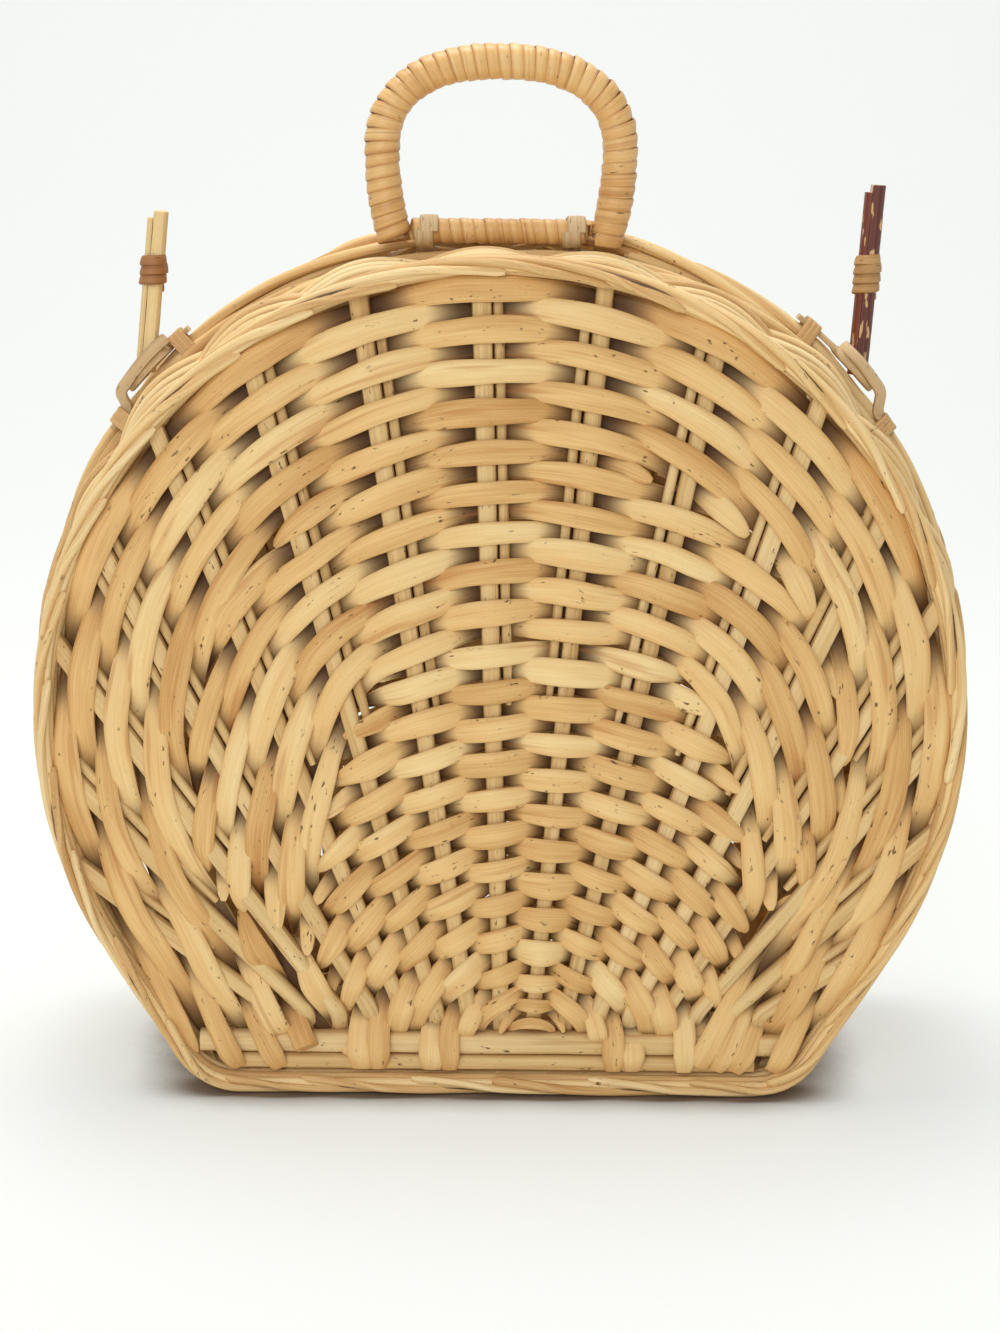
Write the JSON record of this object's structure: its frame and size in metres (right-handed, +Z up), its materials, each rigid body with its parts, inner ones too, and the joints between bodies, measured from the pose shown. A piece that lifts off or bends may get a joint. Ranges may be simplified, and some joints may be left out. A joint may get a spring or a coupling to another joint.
{
  "type": "wicker carrying case",
  "caption": "Round wicker case with a flat base: two woven trays hinged at the foot like a clam shell, a wrapped hoop handle on top and stick pegs that lock the rims.",
  "frame": {"origin": "on the floor under the middle of the case, in the plane where the two trays meet", "axes": "+X to the right seen from the front, +Y from the front face to the back face, +Z up; the case stands on its flat base"},
  "size_m": [0.3891, 0.1396, 0.4136],
  "materials": {
    "willow": "split willow, natural",
    "border_rod": "peeled willow rods, natural",
    "rib_rod": "peeled willow rods, natural",
    "cane_tie": "split cane, weathered",
    "handle_core": "bent rod",
    "handle_peel": "wound cane peel, satin",
    "pale_stick": "split stick, bare",
    "bark_stick": "split stick with dark bark",
    "peg_lashing": "thin split cane, wound"
  },
  "bodies": {
    "back_shell": {"back_face_weave": "willow", "back_side_weave": "willow", "back_face_border": "border_rod", "back_seam_border": "border_rod", "back_base_rod_lower": "rib_rod", "back_base_rod_upper": "rib_rod", "back_rib_1": "rib_rod", "back_rib_2": "rib_rod", "back_rib_3": "rib_rod", "back_rib_4": "rib_rod", "back_rib_5": "rib_rod", "back_rib_6": "rib_rod", "back_rib_7": "rib_rod", "back_rib_8": "rib_rod", "back_eye_left": "cane_tie", "back_eye_right": "cane_tie", "back_eye_tie_left": "cane_tie", "back_eye_tie_right": "cane_tie", "handle_strap_left": "cane_tie", "handle_strap_right": "cane_tie"},
    "hinge_ties": {"hinge_tie_left": "cane_tie", "hinge_tie_centre": "cane_tie", "hinge_tie_right": "cane_tie"},
    "front_shell": {"front_face_weave": "willow", "front_side_weave": "willow", "front_face_border": "border_rod", "front_seam_border": "border_rod", "front_base_rod_lower": "rib_rod", "front_base_rod_upper": "rib_rod", "front_rib_1": "rib_rod", "front_rib_2": "rib_rod", "front_rib_3": "rib_rod", "front_rib_4": "rib_rod", "front_rib_5": "rib_rod", "front_rib_6": "rib_rod", "front_rib_7": "rib_rod", "front_rib_8": "rib_rod", "front_eye_left": "cane_tie", "front_eye_right": "cane_tie", "front_eye_tie_left": "cane_tie", "front_eye_tie_right": "cane_tie"},
    "handle": {"handle_hoop_core": "handle_core", "handle_hoop_wrap": "handle_peel", "handle_bar_core": "handle_core", "handle_bar_wrap": "handle_peel"},
    "left_peg": {"left_peg_stick": "pale_stick", "left_peg_slat": "pale_stick", "left_peg_lashing": "peg_lashing"},
    "right_peg": {"right_peg_stick": "bark_stick", "right_peg_slat": "bark_stick", "right_peg_lashing": "peg_lashing"}
  },
  "joints": [
    {"name": "hinge_tie_turn", "type": "hinge", "parent": "back_shell", "child": "hinge_ties", "pos_m": [0, 0.0055, 0.0063], "axis": [1, 0, 0], "range_deg": [0, 75]},
    {"name": "lid_roll", "type": "hinge", "parent": "hinge_ties", "child": "front_shell", "pos_m": [0, -0.0055, 0.0063], "axis": [1, 0, 0], "range_deg": [0, 75]},
    {"name": "handle_swing", "type": "hinge", "parent": "back_shell", "child": "handle", "pos_m": [-0.002, -0.0061, 0.34179], "axis": [1, 0, 0], "range_deg": [-40, 85]},
    {"name": "left_peg_slide", "type": "slide", "parent": "back_shell", "child": "left_peg", "axis": [0.1011, 0, 0.9949], "range_m": [0, 0.04]},
    {"name": "right_peg_slide", "type": "slide", "parent": "back_shell", "child": "right_peg", "axis": [0.0558, 0, 0.9984], "range_m": [0, 0.04]}
  ],
  "couplings": [
    {"joint": "lid_roll", "follows": "hinge_tie_turn", "ratio": 1}
  ]
}
